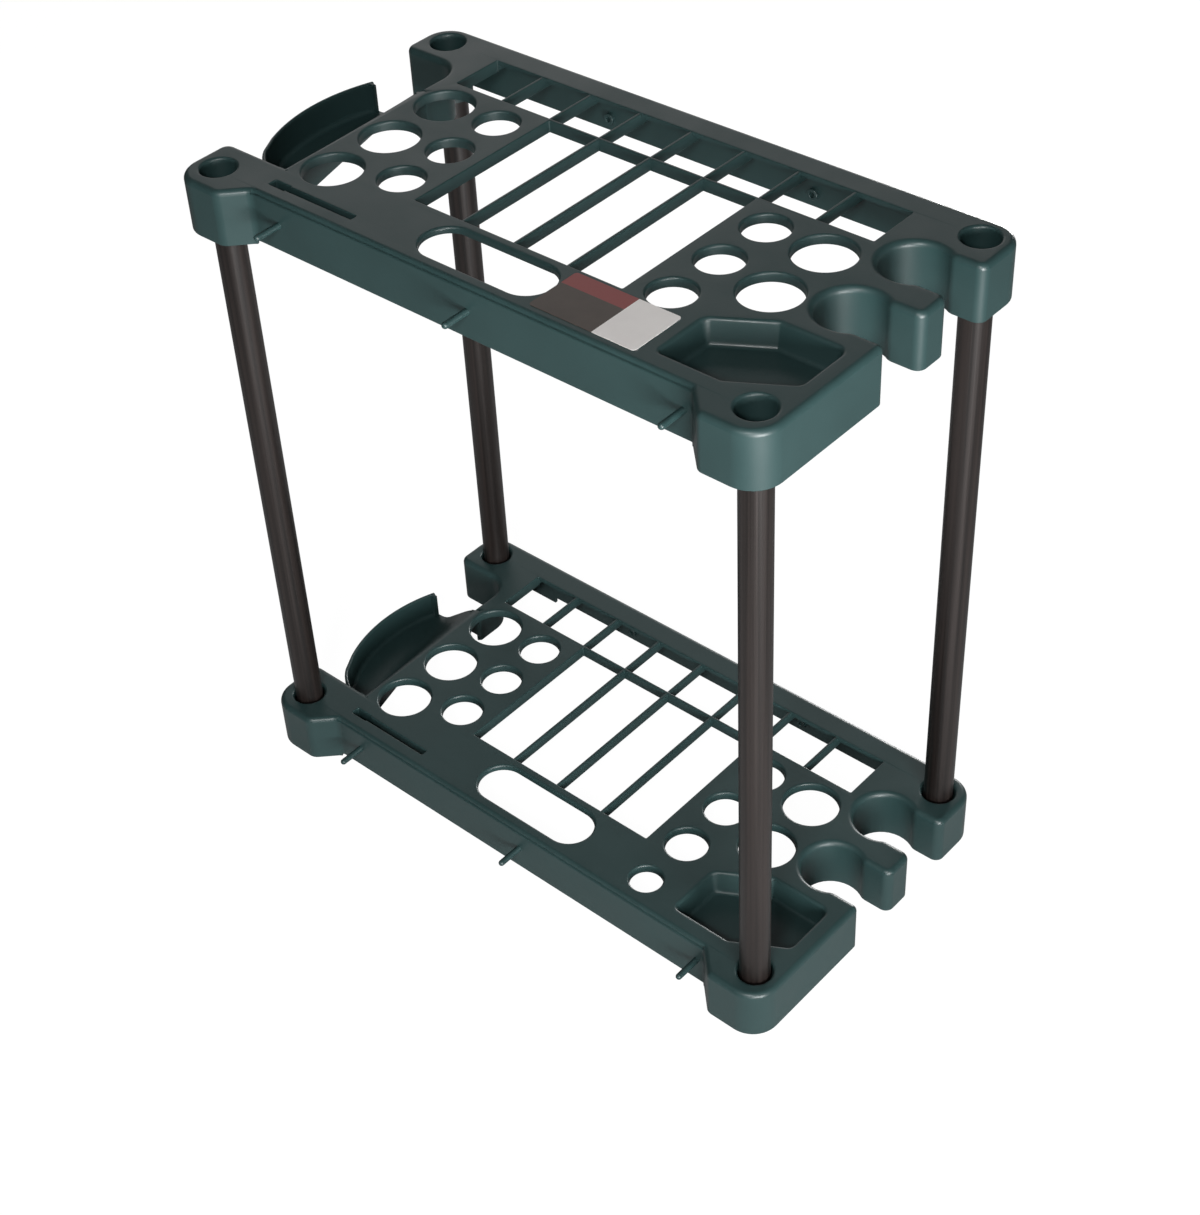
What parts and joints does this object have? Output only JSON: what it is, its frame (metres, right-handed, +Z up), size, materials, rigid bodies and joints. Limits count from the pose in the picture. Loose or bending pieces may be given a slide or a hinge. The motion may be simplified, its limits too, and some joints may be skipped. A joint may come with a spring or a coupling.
{
  "type": "garden tool rack",
  "caption": "Freestanding garden tool rack: two moulded decks with holes, notches, a grid and a tray, held apart by tube posts in the corners.",
  "frame": {"origin": "on the floor, under the middle of the rack's outer box", "axes": "+X along the rack to the side with the two notches, +Y to the back, away from the pegs, +Z up"},
  "size_m": [0.5842, 0.3174, 0.6099],
  "materials": {
    "deck": "satin moulded plastic, dark grey green",
    "post": "satin dark brown tube",
    "sticker": "satin printed film, drawn plain"
  },
  "bodies": {
    "root": {"lower_deck": "deck", "upper_deck": "deck", "post_front_left": "post", "post_front_right": "post", "post_back_left": "post", "post_back_right": "post", "sticker": "sticker"}
  },
  "joints": []
}
